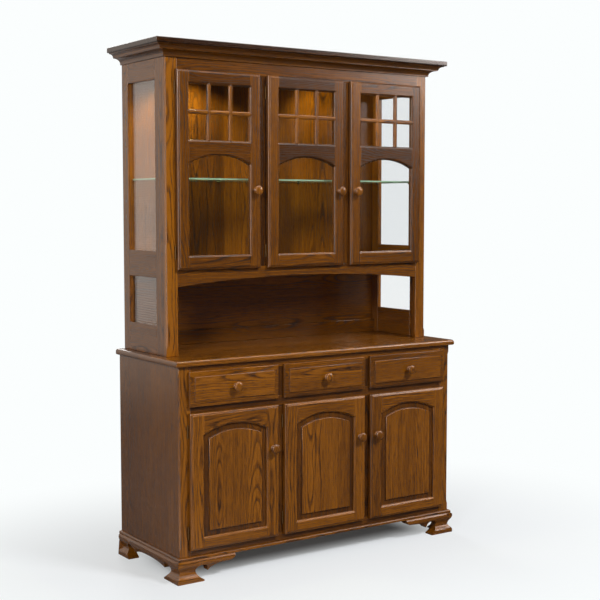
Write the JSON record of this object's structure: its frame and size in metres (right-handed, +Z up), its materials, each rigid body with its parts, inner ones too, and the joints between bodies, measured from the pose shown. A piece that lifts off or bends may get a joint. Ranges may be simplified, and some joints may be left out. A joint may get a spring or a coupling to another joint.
{
  "type": "buffet and hutch",
  "caption": "Stained oak buffet with drawers over arched raised-panel doors, topped by a glazed, lit hutch with a serving niche.",
  "frame": {"origin": "on the floor, in the middle of the box that holds the closed piece with its knobs", "axes": "+X to the right as seen from the front, +Y to the back, +Z up"},
  "size_m": [1.448, 0.5614, 2.102],
  "materials": {
    "stained_oak": "satin lacquer over a warm brown stain",
    "drawer_wood": "plain sealed hardwood",
    "window_glass": "clear",
    "shelf_glass": "clear with a green edge",
    "antique_brass": "aged",
    "lamp_metal": "satin bronze",
    "lamp_lens": "frosted"
  },
  "bodies": {
    "carcass": {"base_sides": "stained_oak", "base_bottom": "stained_oak", "base_back": "stained_oak", "base_partitions": "stained_oak", "base_shelves": "stained_oak", "drawer_runners": "drawer_wood", "base_stiles": "stained_oak", "base_rails": "stained_oak", "counter_top": "stained_oak", "platform_moulding": "stained_oak", "bracket_feet": "stained_oak", "hutch_stiles": "stained_oak", "hutch_rails": "stained_oak", "hutch_sides": "stained_oak", "hutch_side_glass": "window_glass", "hutch_deck": "stained_oak", "hutch_top": "stained_oak", "hutch_back": "stained_oak", "niche_back": "stained_oak", "niche_low_rail": "stained_oak", "glass_shelf": "shelf_glass", "shelf_pegs": "antique_brass", "lamp_housings": "lamp_metal", "lamp_lenses": "lamp_lens", "crown_moulding": "stained_oak", "crown_cap": "stained_oak", "hinge_frame_leaves": "antique_brass"},
    "left_drawer": {"left_drawer_front": "stained_oak", "left_drawer_box": "drawer_wood", "left_drawer_knob": "stained_oak"},
    "middle_drawer": {"middle_drawer_front": "stained_oak", "middle_drawer_box": "drawer_wood", "middle_drawer_knob": "stained_oak"},
    "right_drawer": {"right_drawer_front": "stained_oak", "right_drawer_box": "drawer_wood", "right_drawer_knob": "stained_oak"},
    "left_panel_door": {"left_door_frame": "stained_oak", "left_door_panel": "stained_oak", "left_door_knob": "stained_oak", "left_door_hinges": "antique_brass"},
    "middle_panel_door": {"middle_door_frame": "stained_oak", "middle_door_panel": "stained_oak", "middle_door_knob": "stained_oak", "middle_door_hinges": "antique_brass"},
    "right_panel_door": {"right_door_frame": "stained_oak", "right_door_panel": "stained_oak", "right_door_knob": "stained_oak", "right_door_hinges": "antique_brass"},
    "left_glazed_door": {"left_glazed_frame": "stained_oak", "left_door_glass": "window_glass", "left_glazed_knob": "stained_oak", "left_glazed_hinges": "antique_brass"},
    "middle_glazed_door": {"middle_glazed_frame": "stained_oak", "middle_door_glass": "window_glass", "middle_glazed_knob": "stained_oak", "middle_glazed_hinges": "antique_brass"},
    "right_glazed_door": {"right_glazed_frame": "stained_oak", "right_door_glass": "window_glass", "right_glazed_knob": "stained_oak", "right_glazed_hinges": "antique_brass"}
  },
  "joints": [
    {"name": "left_drawer_slide", "type": "slide", "parent": "carcass", "child": "left_drawer", "axis": [0, -1, 0], "range_m": [0, 0.3]},
    {"name": "middle_drawer_slide", "type": "slide", "parent": "carcass", "child": "middle_drawer", "axis": [0, -1, 0], "range_m": [0, 0.3]},
    {"name": "right_drawer_slide", "type": "slide", "parent": "carcass", "child": "right_drawer", "axis": [0, -1, 0], "range_m": [0, 0.3]},
    {"name": "left_panel_door_hinge", "type": "hinge", "parent": "carcass", "child": "left_panel_door", "pos_m": [-0.6447, -0.2329, 0.394], "axis": [0, 0, -1], "range_deg": [0, 100]},
    {"name": "middle_panel_door_hinge", "type": "hinge", "parent": "carcass", "child": "middle_panel_door", "pos_m": [-0.2077, -0.2329, 0.394], "axis": [0, 0, -1], "range_deg": [0, 100]},
    {"name": "right_panel_door_hinge", "type": "hinge", "parent": "carcass", "child": "right_panel_door", "pos_m": [0.6447, -0.2329, 0.394], "axis": [0, 0, 1], "range_deg": [0, 100]},
    {"name": "left_glazed_door_hinge", "type": "hinge", "parent": "carcass", "child": "left_glazed_door", "pos_m": [-0.6157, -0.0929, 1.6005], "axis": [0, 0, -1], "range_deg": [0, 100]},
    {"name": "middle_glazed_door_hinge", "type": "hinge", "parent": "carcass", "child": "middle_glazed_door", "pos_m": [-0.1957, -0.0929, 1.6005], "axis": [0, 0, -1], "range_deg": [0, 100]},
    {"name": "right_glazed_door_hinge", "type": "hinge", "parent": "carcass", "child": "right_glazed_door", "pos_m": [0.6157, -0.0929, 1.6005], "axis": [0, 0, 1], "range_deg": [0, 100]}
  ]
}
